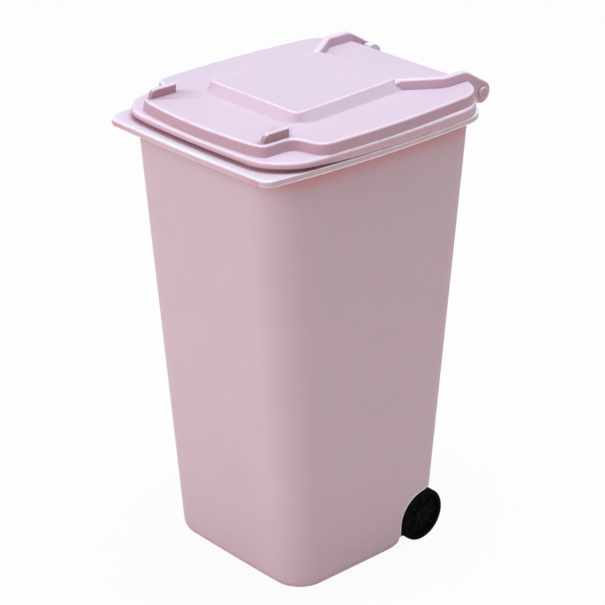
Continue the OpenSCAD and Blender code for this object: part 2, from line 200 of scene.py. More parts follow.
def makeMouldedSkin():
    # Cloudy tint, fine grain and a slow roughness change, all from the piece's own coordinates
    tree, given, made = newGroup(
        "mouldedSkin",
        [
            ("Colour", "NodeSocketColor", (0.6, 0.5, 0.55, 1.0)),
            ("Cloud Colour", "NodeSocketColor", (0.5, 0.4, 0.45, 1.0)),
            ("Cloud Scale", "NodeSocketFloat", 40.0),
            ("Cloud Amount", "NodeSocketFloat", 0.3),
            ("Grain Scale", "NodeSocketFloat", 1500.0),
            ("Roughness Low", "NodeSocketFloat", 0.35),
            ("Roughness High", "NodeSocketFloat", 0.5),
        ],
        [("Colour", "NodeSocketColor"), ("Roughness", "NodeSocketFloat"), ("Height", "NodeSocketFloat")],
    )
    place = tree.nodes.new("ShaderNodeTexCoord").outputs["Object"]
    cloud = noiseNode(tree, place, given.outputs["Cloud Scale"], 3.0, 0.55)
    share = mathNode(tree, "MULTIPLY", rangeNode(tree, cloud, 0.35, 0.7, 0.0, 1.0), given.outputs["Cloud Amount"])
    tint = mixColour(tree, share, given.outputs["Colour"], given.outputs["Cloud Colour"])
    tree.links.new(tint, made.inputs["Colour"])
    grain = noiseNode(tree, place, given.outputs["Grain Scale"], 2.0, 0.6)
    smear = noiseNode(tree, place, patternValues["smearScale"], 4.0, 0.6)
    rough = rangeNode(tree, smear, 0.3, 0.7, given.outputs["Roughness Low"], given.outputs["Roughness High"])
    tree.links.new(rough, made.inputs["Roughness"])
    tree.links.new(mathNode(tree, "ADD", grain, mathNode(tree, "MULTIPLY", smear, 0.6)), made.inputs["Height"])
    return tree


def makePaintedLight():
    # Painted highlight on outer edges, and painted shade in the shut gap and other shaded places, from the piece's own
    # attributes
    tree, given, made = newGroup(
        "paintedHighlightAndShade",
        [
            ("Colour", "NodeSocketColor", (0.6, 0.5, 0.55, 1.0)),
            ("Highlight Colour", "NodeSocketColor", (0.9, 0.85, 0.9, 1.0)),
            ("Highlight Amount", "NodeSocketFloat", 0.6),
            ("Shade Colour", "NodeSocketColor", (0.4, 0.1, 0.15, 1.0)),
            ("Shade Amount", "NodeSocketFloat", 0.8),
        ],
        [("Colour", "NodeSocketColor")],
    )
    edge = tree.nodes.new("ShaderNodeAttribute")
    edge.attribute_name = "edgeLight"
    shade = tree.nodes.new("ShaderNodeAttribute")
    shade.attribute_name = "paintedShade"
    place = tree.nodes.new("ShaderNodeTexCoord").outputs["Object"]
    # Noise breaks the painted edge highlight into patches
    patches = noiseNode(tree, place, patternValues["highlightPatchScale"], 3.0, 0.6)
    broken = rangeNode(tree, patches, 0.3, 0.6, 0.55, 1.0)
    mask = mathNode(tree, "MULTIPLY", edge.outputs["Fac"], broken)
    share = mathNode(tree, "MULTIPLY", mask, given.outputs["Highlight Amount"])
    highlighted = mixColour(tree, share, given.outputs["Colour"], given.outputs["Highlight Colour"])
    shadeShare = mathNode(tree, "MULTIPLY", shade.outputs["Fac"], given.outputs["Shade Amount"])
    tree.links.new(mixColour(tree, shadeShare, highlighted, given.outputs["Shade Colour"]), made.inputs["Colour"])
    return tree


def makeSpecks():
    # Small dull marks left by handling
    tree, given, made = newGroup(
        "handlingSpecks",
        [
            ("Colour", "NodeSocketColor", (0.6, 0.5, 0.55, 1.0)),
            ("Speck Colour", "NodeSocketColor", (0.35, 0.25, 0.3, 1.0)),
            ("Speck Scale", "NodeSocketFloat", 180.0),
            ("Speck Amount", "NodeSocketFloat", 0.3),
        ],
        [("Colour", "NodeSocketColor")],
    )
    place = tree.nodes.new("ShaderNodeTexCoord").outputs["Object"]
    cells = tree.nodes.new("ShaderNodeTexVoronoi")
    tree.links.new(place, cells.inputs["Vector"])
    tree.links.new(given.outputs["Speck Scale"], cells.inputs["Scale"])
    dot = rangeNode(tree, cells.outputs["Distance"], 0.05, 0.16, 1.0, 0.0)
    rare = rangeNode(tree, noiseNode(tree, place, patternValues["rareScale"], 2.0, 0.5), 0.58, 0.66, 0.0, 1.0)
    share = mathNode(tree, "MULTIPLY", mathNode(tree, "MULTIPLY", dot, rare), given.outputs["Speck Amount"])
    tint = mixColour(tree, share, given.outputs["Colour"], given.outputs["Speck Colour"])
    tree.links.new(tint, made.inputs["Colour"])
    return tree


skinGroup = makeMouldedSkin()
paintedLightGroup = makePaintedLight()
speckGroup = makeSpecks()


def placeGroup(tree, group, values):
    node = tree.nodes.new("ShaderNodeGroup")
    node.node_tree = group
    for label, value in values.items():
        node.inputs[label].default_value = (*value, 1.0) if isinstance(value, tuple) else value
    return node


def mouldedPlastic(name, values):
    material = bpy.data.materials.new(name)
    material.use_nodes = True
    tree = material.node_tree
    shader = tree.nodes["Principled BSDF"]
    shader.inputs["Specular IOR Level"].default_value = values["specular"]
    shader.inputs["Subsurface Weight"].default_value = values["glow"]
    shader.inputs["Subsurface Radius"].default_value = values["glowColour"]
    shader.inputs["Subsurface Scale"].default_value = values["glowReach"]
    skin = placeGroup(tree, skinGroup, values["skin"])
    specks = placeGroup(tree, speckGroup, values["specks"])
    paintedLight = placeGroup(tree, paintedLightGroup, values["paintedLight"])
    bump = tree.nodes.new("ShaderNodeBump")
    bump.inputs["Strength"].default_value = values["bumpStrength"]
    bump.inputs["Distance"].default_value = values["bumpDistance"]
    tree.links.new(skin.outputs["Colour"], specks.inputs["Colour"])
    tree.links.new(specks.outputs["Colour"], paintedLight.inputs["Colour"])
    tree.links.new(paintedLight.outputs["Colour"], shader.inputs["Base Color"])
    tree.links.new(skin.outputs["Roughness"], shader.inputs["Roughness"])
    tree.links.new(skin.outputs["Height"], bump.inputs["Height"])
    tree.links.new(bump.outputs["Normal"], shader.inputs["Normal"])
    return material


tubPlasticValues = {
    "specular": 0.25,
    "glow": 0.4,
    "glowColour": (1.0, 0.3, 0.35),
    "glowReach": 0.0015,
    "bumpStrength": 0.12,
    "bumpDistance": 0.0002,
    "skin": {
        "Colour": (0.70, 0.53, 0.61),
        "Cloud Colour": (0.66, 0.51, 0.60),
        "Cloud Scale": 45.0,
        "Cloud Amount": 0.6,
        "Grain Scale": 2200.0,
        "Roughness Low": 0.5,
        "Roughness High": 0.64,
    },
    "specks": {"Speck Colour": (0.42, 0.30, 0.33), "Speck Scale": 230.0, "Speck Amount": 0.35},
    # Painted highlight colour for the tub's edges, and painted shade colour for the gap under the lid and under the
    # brim
    "paintedLight": {
        "Highlight Colour": (1.0, 0.9, 0.95),
        "Highlight Amount": 1.0,
        "Shade Colour": (0.68, 0.22, 0.24),
        "Shade Amount": 0.85,
    },
}
lidPlasticValues = {
    "specular": 0.3,
    "glow": 0.4,
    "glowColour": (1.0, 0.3, 0.35),
    "glowReach": 0.0015,
    "bumpStrength": 0.1,
    "bumpDistance": 0.0002,
    "skin": {
        "Colour": (0.70, 0.465, 0.56),
        "Cloud Colour": (0.68, 0.445, 0.54),
        "Cloud Scale": 35.0,
        "Cloud Amount": 0.5,
        "Grain Scale": 2200.0,
        "Roughness Low": 0.3,
        "Roughness High": 0.44,
    },
    "specks": {"Speck Colour": (0.5, 0.38, 0.48), "Speck Scale": 230.0, "Speck Amount": 0.2},
    # Painted highlight colour for the lid's edges, and painted shade colour for the skirt's edge, the step wall, the
    # rib sides and the hinge eyes
    "paintedLight": {
        "Highlight Colour": (0.88, 0.65, 0.75),
        "Highlight Amount": 0.75,
        "Shade Colour": (0.42, 0.19, 0.23),
        "Shade Amount": 0.8,
    },
}
wheelPlasticValues = {
    "specular": 0.05,
    "glow": 0.0,
    "glowColour": (1.0, 0.35, 0.4),
    "glowReach": 0.0015,
    "bumpStrength": 0.15,
    "bumpDistance": 0.0002,
    "skin": {
        "Colour": (0.0015, 0.0015, 0.0015),
        "Cloud Colour": (0.0025, 0.0025, 0.0025),
        "Cloud Scale": 120.0,
        "Cloud Amount": 0.5,
        "Grain Scale": 2600.0,
        "Roughness Low": 0.6,
        "Roughness High": 0.75,
    },
    "specks": {"Speck Colour": (0.008, 0.008, 0.008), "Speck Scale": 300.0, "Speck Amount": 0.3},
    # A faint painted highlight on the wheels' edges, and no painted shade
    "paintedLight": {
        "Highlight Colour": (0.005, 0.005, 0.005),
        "Highlight Amount": 0.5,
        "Shade Colour": (0.003, 0.003, 0.003),
        "Shade Amount": 0.0,
    },
}
tubPlastic = mouldedPlastic("tubPinkPlastic", tubPlasticValues)
lidPlastic = mouldedPlastic("lidLilacPlastic", lidPlasticValues)
wheelPlastic = mouldedPlastic("wheelBlackPlastic", wheelPlasticValues)

axleSteelValues = {
    "colour": (0.5, 0.5, 0.51),
    "streakColour": (0.36, 0.36, 0.37),
    "streakScale": 900.0,
}


def drawnSteel(name, values):
    # Bright rod with fine marks along its length
    material = bpy.data.materials.new(name)
    material.use_nodes = True
    tree = material.node_tree
    shader = tree.nodes["Principled BSDF"]
    shader.inputs["Metallic"].default_value = 1.0
    place = tree.nodes.new("ShaderNodeTexCoord").outputs["Object"]
    stretch = tree.nodes.new("ShaderNodeMapping")
    stretch.inputs["Scale"].default_value = (0.05, 1.0, 1.0)
    tree.links.new(place, stretch.inputs["Vector"])
    streaks = noiseNode(tree, stretch.outputs["Vector"], values["streakScale"], 3.0, 0.6)
    ramp = tree.nodes.new("ShaderNodeValToRGB")
    ramp.color_ramp.elements[0].color = (*values["streakColour"], 1.0)
    ramp.color_ramp.elements[1].color = (*values["colour"], 1.0)
    tree.links.new(streaks, ramp.inputs["Fac"])
    tree.links.new(ramp.outputs["Color"], shader.inputs["Base Color"])
    tree.links.new(rangeNode(tree, streaks, 0.3, 0.7, 0.25, 0.45), shader.inputs["Roughness"])
    return material


axleSteel = drawnSteel("axleDrawnSteel", axleSteelValues)
print("materials made")

# Sizes, in mm
binValues = {
    "height": 142.0,
    "topWidth": 72.0,
    "baseWidth": 61.6,
    "topDepth": 84.0,
    "baseDepth": 61.6,
    "baseShift": 0.6,
    "topCorner": 13.5,
    "baseCorner": 10.5,
    "baseEdge": 4.0,
    "wall": 1.5,
    "floor": 1.8,
    "bow": 0.5,
    "nose": 0.4,
    "middleY": -2.95,
    "capInset": 9.0,  # the flat ends of the skin start here
    "innerHeights": (40, 95),
    "outerHeights": (136, 130, 95, 60, 30, 12),
    "wellTop": 60,
    "slack": 0.05,
}
brimValues = {
    "height": 2.1,
    "front": 4.97,
    "side": 2.45,
    "rear": 2.2,
    "bow": 2.65,
    "taper": -0.45,
    "nose": 0.7,
    "frontCorner": 3.6,
    "rearCorner": 11.0,
    "turnDown": 1.1,
    "flange": 1.3,
    "rim": 0.6,
    "rimInset": 0.5,
    "rimRound": 0.25,
    "rimFoot": 0.2,
    "topRound": 0.6,
    "edgeRound": 0.45,
    "lowRound": 0.3,
    "underRound": 0.2,
    "wallRound": 0.5,
}
hingeValues = {"y": 46.45, "z": 145.4, "eye": 3.5, "pin": 1.2, "head": 1.9, "bar": 2.0}
armValues = {
    "thickness": 2.2,
    "x": 25.6,
    "rootY": 17.2,
    "startX": 17.7,
    "startY": 16.9,
    "bendY": 30.4,
    "drop": 59.0,  # degrees round the eye where the sloping back begins
    "under": 15.0,
    "sink": 0.03,
    "edge": 0.5,
    "eyeShade": 0.35,
    "rootRise": 0.9,
    "rootRamp": 1.8,
    "bendRound": 5.0,
    "peakRound": 7.5,
    "slice": 0.75,
    "sideInset": 0.2,
}
wheelValues = {
    "radius": 8.8,
    "width": 5.0,
    "y": 20.95,
    "z": 8.9,
    "outerX": 31.0,
    "archGap": 0.85,
    "archShift": 0.25,
    "flare": 6.8,
    "sideGap": 0.6,
    "spokes": 8,
    "boss": 3.1,
    "tunnelFloor": -3.5,
    "wellFloor": -3.0,
    "wellRear": 60.0,
    "wellReach": 50.0,
}
frontY = binValues["middleY"] - binValues["topDepth"] / 2
rearY = binValues["middleY"] + binValues["topDepth"] / 2
brimTop = binValues["height"] + brimValues["height"]

# Outlines, as rows of x and y, right half first and then mirrored
outlineSteps = {"front": 10, "corner": 14, "side": 16, "rear": 8}


def arcPoints(x, y, radius, start, end, steps):
    angles = np.radians(np.linspace(start, end, steps + 1))
    return np.c_[x + radius * np.cos(angles), y + radius * np.sin(angles)]


def linePoints(a, b, steps):
    t = np.linspace(0.0, 1.0, steps + 1)[:, None]
    return np.asarray(a) * (1 - t) + np.asarray(b) * t


def roundedHalf(x, y0, y1, frontCorner, rearCorner, taper=0.0):
    front = arcPoints(x - frontCorner, y0 + frontCorner, frontCorner, -90, 0, outlineSteps["corner"])
    rear = arcPoints(x - taper - rearCorner, y1 - rearCorner, rearCorner, 0, 90, outlineSteps["corner"])
    return np.vstack([
        linePoints((0, y0), front[0], outlineSteps["front"])[:-1],
        front,
        linePoints(front[-1], rear[0], outlineSteps["side"])[1:-1],
        rear,
        linePoints(rear[-1], (0, y1), outlineSteps["rear"])[1:],
    ])


def bowedHalf(points, x, y0, y1, side, nose):
    middle = (y0 + y1) / 2
    reach = (y1 - y0) / 2
    px, py = points[:, 0], points[:, 1]
    push = side * np.clip(1 - ((py - middle) / reach) ** 2, 0, None) * np.clip(px / x, 0, 1) ** 4
    lean = np.where(py < middle, nose * np.clip(1 - (px / x) ** 2, 0, None), 0.0)
    return np.c_[px + push, py - lean]


def wholeOutline(half):
    left = half[1:-1][::-1].copy()
    left[:, 0] *= -1
    return np.vstack([half, left])


def bowedRing(width, y0, y1, frontCorner, rearCorner, side, nose, inset=0.0, taper=0.0):
    x = width / 2 - side - inset
    low = y0 + nose + inset
    high = y1 - inset
    half = roundedHalf(x, low, high, max(0.5, frontCorner - inset), max(0.5, rearCorner - inset), taper)
    return wholeOutline(bowedHalf(half, x, low, high, side, nose))


def wallRing(z, inset, values=binValues):
    t = z / values["height"]
    width = values["baseWidth"] + (values["topWidth"] - values["baseWidth"]) * t - 2 * inset
    depth = values["baseDepth"] + (values["topDepth"] - values["baseDepth"]) * t - 2 * inset
    corner = values["baseCorner"] + (values["topCorner"] - values["baseCorner"]) * t - inset
    y = values["middleY"] + values["baseShift"] * (1 - t)
    bow = values["bow"] * (1 + t) / 2
    return bowedRing(width, y - depth / 2, y + depth / 2, corner, corner, bow, values["nose"])


def brimRing(inset, values=brimValues):
    width = binValues["topWidth"] + 2 * values["side"]
    return bowedRing(width, frontY - values["front"], rearY + values["rear"], values["frontCorner"],
                     values["rearCorner"], values["bow"], values["nose"], inset, values["taper"])


def atHeight(outline, z):
    heights = np.full((len(outline), 1), z) if np.isscalar(z) else np.asarray(z)[:, None]
    return np.hstack([outline, heights])


def wallLevel(z, inset=0.0):
    return atHeight(wallRing(z, inset), z)


def unit(value):
    return max(0.0, min(1.0, value))


# Meshes


def filletRings(rings, radii, steps=4, guard=0.4, most=0.49, guardMost=0.4975):
    # Each inner ring becomes a round of its own radius, held by a ring close by on each side
    made = [rings[0]]
    for before, ring, after, radius in zip(rings, rings[1:], rings[2:], radii[1:]):
        if radius <= 0:
            made.append(ring)
            continue
        back, ahead = before - ring, after - ring
        backLength = np.linalg.norm(back, axis=1, keepdims=True)
        aheadLength = np.linalg.norm(ahead, axis=1, keepdims=True)
        cosine = np.clip((back * ahead).sum(1, keepdims=True) / (backLength * aheadLength), -0.9999, 0.9999)
        half = np.arccos(cosine) / 2
        reach = np.minimum(radius / np.tan(half), most * np.minimum(backLength, aheadLength))
        start, end = ring + back / backLength * reach, ring + ahead / aheadLength * reach
        made.append(ring + back / backLength * np.minimum(reach + guard, guardMost * backLength))
        weight = np.sin(half)
        for t in np.linspace(0, 1, steps + 1):
            share = (1 - t) ** 2 + 2 * weight * t * (1 - t) + t ** 2
            made.append(((1 - t) ** 2 * start + 2 * weight * t * (1 - t) * ring + t ** 2 * end) / share)
        made.append(ring + ahead / aheadLength * np.minimum(reach + guard, guardMost * aheadLength))
    made.append(rings[-1])
    return made


def ringMesh(rings, capped=True):
    # A closed skin through rings that all have the same number of points
    count = len(rings[0])
    work = bmesh.new()
    rows = [[work.verts.new(point * mm) for point in ring] for ring in rings]
    for upper, lower in zip(rows, rows[1:]):
        for i in range(count):
            k = (i + 1) % count
            work.faces.new((upper[i], lower[i], lower[k], upper[k]))
    if capped:
        work.faces.new(rows[0])
        work.faces.new(rows[-1][::-1])
    bmesh.ops.recalc_face_normals(work, faces=work.faces)
    return work


def prismMesh(points, x0, x1, bevel=0.0, steps=2):
    # A side shape of y and z rows, pulled along x, with rounded edges
    work = bmesh.new()
    rows = [[work.verts.new(Vector((x, y, z)) * mm) for y, z in points] for x in (x0, x1)]
    count = len(points)
    for i in range(count):
        k = (i + 1) % count
        work.faces.new((rows[0][i], rows[1][i], rows[1][k], rows[0][k]))
    ends = [work.faces.new(rows[0]), work.faces.new(rows[1][::-1])]
    bmesh.ops.recalc_face_normals(work, faces=work.faces)
    if bevel > 0:
        edges = list(dict.fromkeys(edge for face in ends for edge in face.edges))  # in a fixed order
        bmesh.ops.bevel(work, geom=edges, offset=bevel * mm, offset_type="OFFSET", segments=steps,
                        profile=0.5, affect="EDGES")
    return work


def turnedMesh(profile, x, y, z, steps=48, side=1):
    # A profile of reach along x and radius, turned about the x direction
    work = bmesh.new()
    rows = []
    for reach, radius in profile:
        if radius < 1e-6:
            rows.append([work.verts.new(Vector((x + side * reach, y, z)) * mm)])
            continue
        rows.append([
            work.verts.new(Vector((x + side * reach, y + radius * math.cos(a), z + radius * math.sin(a))) * mm)
            for a in (2 * math.pi * i / steps for i in range(steps))
        ])
    for upper, lower in zip(rows, rows[1:]):
        for i in range(steps):
            k = (i + 1) % steps
            if len(upper) == 1:
                work.faces.new((upper[0], lower[i], lower[k]))
            elif len(lower) == 1:
                work.faces.new((upper[i], lower[0], upper[k]))
            else:
                work.faces.new((upper[i], lower[i], lower[k], upper[k]))
    bmesh.ops.recalc_face_normals(work, faces=work.faces)
    return work


def joinMeshes(parts):
    whole = bmesh.new()
    for part in parts:
        mesh = bpy.data.meshes.new("joining")
        part.to_mesh(mesh)
        part.free()
        whole.from_mesh(mesh)
        bpy.data.meshes.remove(mesh)
    return whole


def boolean(work, cutter, operation):
    # Exact cut or union of two closed meshes
    objects = []
    for source in (work, cutter):
        mesh = bpy.data.meshes.new("cutting")
        source.to_mesh(mesh)
        source.free()
        piece = bpy.data.objects.new("cutting", mesh)
        scene.collection.objects.link(piece)
        objects.append(piece)
    modifier = objects[0].modifiers.new("cut", "BOOLEAN")
    modifier.operation = operation
    modifier.solver = "EXACT"
    modifier.object = objects[1]
    graph = bpy.context.evaluated_depsgraph_get()
    result = bpy.data.meshes.new_from_object(objects[0].evaluated_get(graph))
    made = bmesh.new()
    made.from_mesh(result)
    bpy.data.meshes.remove(result)
    for piece in objects:
        mesh = piece.data
        bpy.data.objects.remove(piece)
        bpy.data.meshes.remove(mesh)
    return made


def paintEdgeHighlights(work, rule, tight=0.8, loose=2.2):
    # Mask of the painted edge highlight: 1 on rounds tighter than the first radius, 0 on those looser than the second,
    # in mm
    layer = work.verts.layers.float.new("edgeLight")
    for vert in work.verts:
        vert[layer] = 0.0
    for edge in work.edges:
        if len(edge.link_faces) != 2:
            continue
        turn = edge.calc_face_angle_signed(0.0)
        if turn < 0.02 or turn > 0.9:
            continue
        width = min(face.calc_area() for face in edge.link_faces) / max(edge.calc_length(), 1e-9) / mm
        bend = turn / max(width, 0.02)
        level = min(1.0, max(0.0, (bend - 1 / loose) / (1 / tight - 1 / loose)))
        for vert in edge.verts:
            vert[layer] = max(vert[layer], level * rule(vert.co.x / mm, vert.co.y / mm, vert.co.z / mm))


def paintShade(work, rule):
    # How much painted shade each point gets, 0 to 1, in the shut gap and other places where shade falls
    layer = work.verts.layers.float.new("paintedShade")
    for vert in work.verts:
        vert[layer] = rule(vert.co.x / mm, vert.co.y / mm, vert.co.z / mm)


def finishPiece(name, work, material, body, replaced=(), sharp=35.0, edge=None, shade=None):
    paintEdgeHighlights(work, edge or (lambda x, y, z: 1.0))
    paintShade(work, shade or (lambda x, y, z: 0.0))
    for seam in work.edges:
        seam.smooth = len(seam.link_faces) == 2 and seam.calc_face_angle(0.0) < math.radians(sharp)
    for face in work.faces:
        face.smooth = True
        face.material_index = 0
    mesh = bpy.data.meshes.new(name)
    work.to_mesh(mesh)
    work.free()
    mesh.materials.append(material)
    piece = bpy.data.objects.new(name, mesh)
    scene.collection.objects.link(piece)
    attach(piece, body)
    if replaced:
        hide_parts(*replaced)


# Tub: one skin from the inside floor, up, over the rim and the brim, and down to the base


def makeTubSkin(values, brim):
    top = brimTop + brim["rim"]
    flangeZ = brimTop - brim["flange"]
    height, floor, wall, cap = values["height"], values["floor"], values["wall"], values["capInset"]
    rimRing = wallRing(height, brim["rimInset"])
    turned = brimRing(brim["turnDown"])
    stations = [(wallLevel(floor, wall + cap), 0), (wallLevel(floor, wall), values["baseEdge"] - wall)]
    stations += [(wallLevel(z, wall), 0) for z in values["innerHeights"]]
    stations += [
        (wallLevel(top, wall), brim["rimRound"]),
        (atHeight(rimRing, top), brim["rimRound"]),
        (atHeight(rimRing, brimTop), brim["rimFoot"]),
        (atHeight(brimRing(0), brimTop), brim["topRound"]),
        (atHeight(brimRing(0), height), brim["edgeRound"]),
        (atHeight(turned, height), brim["lowRound"]),
        (atHeight(turned, flangeZ), brim["underRound"]),
        (wallLevel(flangeZ), brim["wallRound"]),
    ]
    stations += [(wallLevel(z), 0) for z in values["outerHeights"]]
    stations += [(wallLevel(0), values["baseEdge"]), (wallLevel(0, cap), 0)]
    rings, rounds = zip(*stations)
    return ringMesh(filletRings(rings, rounds, 5))


def archOutline(values, extra):
    # Side shape of a wheel well, open below and behind
    radius = values["radius"] + values["archGap"] + extra
    y, z, flare = values["y"] - values["archShift"], values["z"], values["flare"]
    front = y - radius
    return np.vstack([
        [(front - flare, values["wellFloor"])],
        arcPoints(front - flare, flare, flare, -90, 0, 12),
        arcPoints(y, z, radius, 180, 0, 40),
        [(values["wellRear"] + extra, z), (values["wellRear"] + extra, values["wellFloor"])],
    ])


def makeWells(values, extra, reach):
    inner = values["outerX"] - values["width"] - values["sideGap"] - extra
    boss = values["boss"] + extra
    y0, y1, floor, roof = values["y"] - boss, values["y"] + boss, values["tunnelFloor"], values["z"] + boss
    wells = prismMesh([(y0, floor), (y1, floor), (y1, roof), (y0, roof)], -inner - 1.0, inner + 1.0)
    for low, high in ((inner, reach), (-reach, -inner)):
        wells = boolean(wells, prismMesh(archOutline(values, extra), low, high), "UNION")
    return wells


def makeTub():
    wall, cap, slack, top = (binValues[key] for key in ("wall", "capInset", "slack", "wellTop"))
    reach = wheelValues["wellReach"]
    solid = [wallLevel(slack, cap), wallLevel(slack, slack), wallLevel(top, slack), wallLevel(top, cap)]
    solid = ringMesh(filletRings(solid, [0, binValues["baseEdge"], 0, 0], 5))
    inside = boolean(solid, makeWells(wheelValues, wall, reach), "INTERSECT")
    tub = boolean(makeTubSkin(binValues, brimValues), inside, "UNION")
    return boolean(tub, makeWells(wheelValues, 0.0, reach + 2.0), "DIFFERENCE")


def wallSide(y, z):
    # Half width of the outer wall at a place
    ring = wallRing(max(z, 0.0), 0.0)
    half = ring[: len(ring) // 2 + 1]
    rim = half[outlineSteps["front"]:-outlineSteps["rear"]]
    return float(np.interp(y, rim[:, 1], rim[:, 0]))


def makeArchBead(side, values, radius=0.34, steps=10):
    # Rounded lip that runs along the edge of one wheel arch
    outline = archOutline(values, 0.0)[2:-2]
    limit = values["y"] + 4.0
    path = np.array([(side * (wallSide(y, z) - 0.08), y, z) for y, z in outline if y < limit and z > 2.4])
    work = bmesh.new()
    rows = []
    for i, point in enumerate(path):
        ahead = path[min(i + 1, len(path) - 1)] - path[max(i - 1, 0)]
        ahead /= np.linalg.norm(ahead)
        out = np.array([side, 0.0, 0.0]) - ahead * ahead[0] * side
        out /= np.linalg.norm(out)
        across = np.cross(ahead, out)
        size = radius * min(1.0, 0.35 + 0.65 * min(i, len(path) - 1 - i) / 3)
        rows.append([
            work.verts.new((point + size * (math.cos(a) * out * 0.85 + math.sin(a) * across)) * mm)
            for a in (2 * math.pi * k / steps for k in range(steps))
        ])
    for upper, lower in zip(rows, rows[1:]):
        for k in range(steps):
            work.faces.new((upper[k], lower[k], lower[(k + 1) % steps], upper[(k + 1) % steps]))
    work.faces.new(rows[0])
    work.faces.new(rows[-1])
    bmesh.ops.recalc_face_normals(work, faces=work.faces)
    return work


def roundedCorner(a, b, c, radius, steps=8):
    # Points that round the corner at b
    a, b, c = (np.asarray(p, float) for p in (a, b, c))
    rings = filletRings([a[None], b[None], c[None]], [0, radius, 0], steps)
    return np.vstack(rings[2:-2])


lugValues = {
    "thickness": 3.0,
    "sideGap": 0.35,
    "drop": 6.0,
    "sink": 0.2,
    "stepBack": 0.6,
    "low": 30.0,  # degrees
    "high": 20.0,
    "footRound": 1.2,
    "barForward": 0.4,
    "barDrop": 1.9,
}


def makeLugs(values, hinge):
    inner = armValues["x"] - armValues["thickness"] / 2 - values["sideGap"] - values["thickness"]
    eyeY, eyeZ, eye = hinge["y"], hinge["z"], hinge["eye"]
    low, high = math.radians(values["low"]), math.radians(values["high"])
    underPoint = (eyeY + eye * math.sin(low), eyeZ - eye * math.cos(low))
    overPoint = (eyeY - eye * math.sin(high), eyeZ + eye * math.cos(high))
    wallY = rearY - binValues["wall"] / 2
    shape = np.vstack([
        [(wallY, binValues["height"] - values["drop"])],
        [underPoint],
        arcPoints(eyeY, eyeZ, eye, -90 + values["low"], 90 + values["high"], 24)[1:-1],
        [overPoint],
        roundedCorner(overPoint, (rearY + brimValues["rear"] + values["stepBack"], brimTop - values["sink"]),
                      (wallY, brimTop - values["sink"]), values["footRound"]),
        [(wallY, brimTop - values["sink"])],
    ])
    thick = values["thickness"]
    parts = [prismMesh(shape, x, x + thick, 0.3, 3) for x in (inner, -inner - thick)]
    bar = hinge["bar"]
    profile = [(-inner - 1.0, 0.0), (-inner - 1.0, bar), (inner + 1.0, bar), (inner + 1.0, 0.0)]
    parts.append(turnedMesh(profile, 0.0, eyeY - values["barForward"], eyeZ - values["barDrop"], 40))
    return parts


def lipGapShade(x, y, z):
    # Painted shade on the brim's top under the front of the shut lid, and on the wall just under the brim
    atFront = unit((-y - 24) / 12)
    if z > brimTop - 0.5:
        return 0.5 * atFront * unit((lipOutlineReach(x, y) + 0.2) / 1.6)
    if z < binValues["height"] + 1.5:
        onSide = unit((abs(x) - 24) / 10)
        under = z < binValues["height"] - 0.2 or abs(x) < wallSide(min(max(y, -40.0), 35.0), z) + 0.4
        return (0.2 + 0.6 * onSide) * unit((z - 135) / 7) ** 1.5 if under else 0.0
    return 0.0


# Lid

lidValues = {
    "gap": 1.1,
    "fingerGap": 0.3,
    "fingerReach": 45.0,
    "sideDrop": 0.8,
    "skirt": 2.0,
    "step": 3.5,
    "panel": 3.1,
    "skin": 1.4,
    "over": 0.45,
    "back": 3.0,
    "lipBow": 2.5,
    "lipNose": 2.1,
    "lipFrontCorner": 11.7,
    "lipRearCorner": 13.4,
    "lipRearOver": 0.1,
    "ledge": 0.9,
    "noseWidth": 54.4,
    "noseBack": 1.6,
    "noseLean": 2.3,
    "noseCorner": 2.5,
    "notchBack": 10.2,
    "notch": 4.5,
    "notchTilt": 13.0,
    "stepBow": 0.9,
    "stepTaper": 1.0,
    "stepRearCorner": 13.0,
    "stepDraft": 0.41,
    "panelWidth": 44.6,
    "panelDepth": 48.0,
    "panelBack": 19.4,
    "panelTaper": 2.4,
    "panelSlope": 2.8,
    "panelFrontCorner": 8.0,
    "panelTopCorner": 2.5,
    "panelRearCorner": 4.0,
    "stepShade": 0.45,
    "lipRound": 0.7,
    "stepRound": 0.8,
    "stepGuard": 1.3,
    "lipSide": 0.9,
    "hollowCap": 6,
    "panelCap": 8,
}
lipWidth = binValues["topWidth"] + 2 * (brimValues["side"] + lidValues["over"])
lipFrontY = frontY - brimValues["front"] + lidValues["back"]
lipRearY = rearY + brimValues["rear"] + lidValues["lipRearOver"]
skirtZ = brimTop + lidValues["gap"]
lipZ = skirtZ + lidValues["skirt"]
stepZ = lipZ + lidValues["step"]
panelZ = stepZ + lidValues["panel"]
stepFrontY = lipFrontY + lidValues["noseBack"]
panelFrontY = stepFrontY + lidValues["panelBack"]
panelRearY = panelFrontY + lidValues["panelDepth"]


def lipOutline(inset, values=lidValues):
    return bowedRing(lipWidth, lipFrontY, lipRearY, values["lipFrontCorner"], values["lipRearCorner"],
                     values["lipBow"], values["lipNose"], inset)


